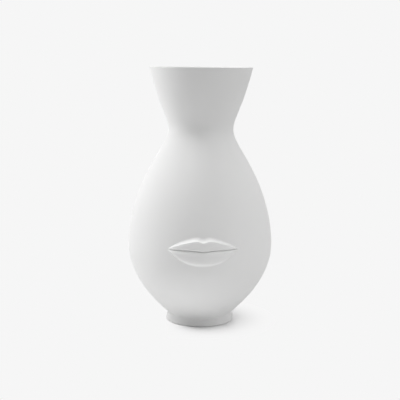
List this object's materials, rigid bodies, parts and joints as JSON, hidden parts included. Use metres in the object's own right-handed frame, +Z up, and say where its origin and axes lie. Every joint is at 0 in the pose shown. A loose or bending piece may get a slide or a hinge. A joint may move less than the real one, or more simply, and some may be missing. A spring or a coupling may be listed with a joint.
{
  "type": "face vase",
  "caption": "Pear-shaped matte porcelain vase with a flared collar, a turned foot ring and closed lips in relief on the front.",
  "frame": {"origin": "on the table, under the middle of the foot ring", "axes": "+Z up along the axis that the vase is turned about, the lips face -Y, +X to the right of the lips as seen from the front"},
  "size_m": [0.179, 0.1847, 0.316],
  "materials": {
    "bisque": "matte, unglazed, finely sanded",
    "luting_slip": "matte, unglazed",
    "lining_glaze": "clear gloss"
  },
  "bodies": {
    "root": {"body": "bisque", "collar": "bisque", "foot_ring": "bisque", "upper_lip": "bisque", "lower_lip": "bisque", "neck_slip": "luting_slip", "foot_slip": "luting_slip", "glaze_lining": "lining_glaze"}
  },
  "joints": []
}
